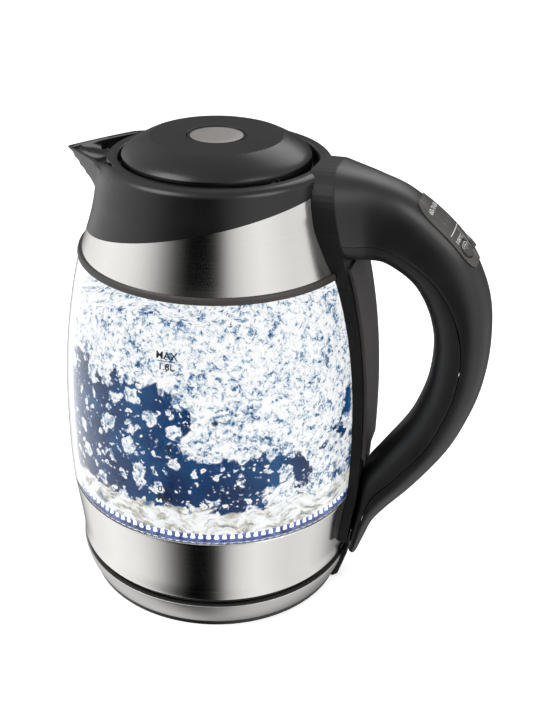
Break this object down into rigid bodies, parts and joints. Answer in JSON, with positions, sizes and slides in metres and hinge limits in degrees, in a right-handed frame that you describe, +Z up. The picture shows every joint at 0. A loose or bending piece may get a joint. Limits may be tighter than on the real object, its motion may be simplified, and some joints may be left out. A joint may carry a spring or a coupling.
{
  "type": "electric kettle",
  "caption": "Cordless electric kettle with a glass jug, steel bands, a pouring beak, a push-button hinged lid, a loop handle with keys and a round power base.",
  "frame": {"origin": "on the jug's axis, in the plane that the base stands on", "axes": "+Z up along the axis that the kettle turns about, +X towards the handle, -X towards the beak"},
  "size_m": [0.2231, 0.1624, 0.248],
  "materials": {
    "black_plastic": "satin",
    "collar_plastic": "satin",
    "handle_top_plastic": "satin, soft touch",
    "cover_plastic": "fine grain",
    "key_plastic": "satin",
    "panel_film": "printed film",
    "trim_metal": "satin silver",
    "brushed_steel": "brushed around the axis",
    "plain_steel": "satin",
    "filter_steel": "etched mesh",
    "element_metal": "dull",
    "aluminium": "rolled",
    "contact_brass": "plain",
    "button_metal": "satin",
    "rubber_feet": "matt",
    "seal_rubber": "matt silicone",
    "clear_silicone": "translucent silicone",
    "light_plastic": "clear, toothed",
    "jug_glass": "clear borosilicate",
    "board_green": "solder mask",
    "lamp_blue": "clear lens",
    "wire_insulation": "soft",
    "control_resin": "moulded",
    "latch_plastic": "natural acetal"
  },
  "bodies": {
    "base": {"base_bottom_cover": "black_plastic", "base_trim_ring": "trim_metal", "base_deck": "black_plastic", "base_feet": "rubber_feet", "base_screws": "plain_steel", "base_connector": "black_plastic", "connector_contacts": "contact_brass", "cord_outlet": "black_plastic", "base_wiring": "wire_insulation"},
    "coupler": {"coupler_socket": "black_plastic", "coupler_contacts": "contact_brass"},
    "kettle": {"kettle_bottom_cover": "black_plastic", "bottom_screws": "plain_steel", "chassis_ring": "cover_plastic", "lower_band": "brushed_steel", "control_unit": "control_resin", "heating_element": "element_metal", "diffuser_plate": "aluminium", "heating_plate": "plain_steel", "plate_seal": "clear_silicone", "led_board": "board_green", "leds": "lamp_blue", "light_ring": "light_plastic", "temperature_probe": "plain_steel", "glass_jug": "jug_glass", "glass_top_seal": "seal_rubber", "upper_band": "brushed_steel", "collar": "collar_plastic", "spout_filter": "filter_steel", "handle_strap": "black_plastic", "strap_cover": "cover_plastic", "strap_screws": "plain_steel", "handle_ribbon": "wire_insulation", "handle_inner_shell": "black_plastic", "handle_outer_shell": "handle_top_plastic", "control_panel": "panel_film", "control_board": "board_green", "tact_switches": "key_plastic", "hinge_pin": "plain_steel", "lid_spring": "plain_steel"},
    "lid": {"lid_cover": "collar_plastic", "lid_liner": "cover_plastic", "lid_seal": "seal_rubber"},
    "button": {"lid_button": "button_metal", "button_spring": "plain_steel"},
    "latch": {"latch_bolt": "latch_plastic"},
    "power_key": {"power_key": "key_plastic"},
    "temperature_key": {"temperature_key": "key_plastic"}
  },
  "joints": [
    {"name": "kettle_lift", "type": "slide", "parent": "base", "child": "coupler", "axis": [0, 0, 1], "range_m": [0, 0.06]},
    {"name": "kettle_turn", "type": "hinge", "parent": "coupler", "child": "kettle", "pos_m": [0, 0, 0.025], "axis": [0, 0, 1], "continuous": true},
    {"name": "lid_hinge", "type": "hinge", "parent": "kettle", "child": "lid", "pos_m": [0.037, 0, 0.2364], "axis": [0, 1, 0], "range_deg": [0, 75]},
    {"name": "lid_button_press", "type": "slide", "parent": "lid", "child": "button", "axis": [0, 0, -1], "range_m": [0, 0.003], "stiffness_N_per_m": 600, "springref_m": -0.003, "deforming": ["button_spring"]},
    {"name": "latch_slide", "type": "slide", "parent": "lid", "child": "latch", "axis": [1, 0, 0], "range_m": [0, 0.003]},
    {"name": "power_key_press", "type": "slide", "parent": "kettle", "child": "power_key", "axis": [-0.6429, 0.1633, -0.7483], "range_m": [0, 0.0004], "stiffness_N_per_m": 1500, "springref_m": -0.0004},
    {"name": "temperature_key_press", "type": "slide", "parent": "kettle", "child": "temperature_key", "axis": [-0.6429, -0.1633, -0.7483], "range_m": [0, 0.0004], "stiffness_N_per_m": 1500, "springref_m": -0.0004}
  ],
  "couplings": [
    {"joint": "latch_slide", "follows": "lid_button_press", "ratio": 1}
  ]
}
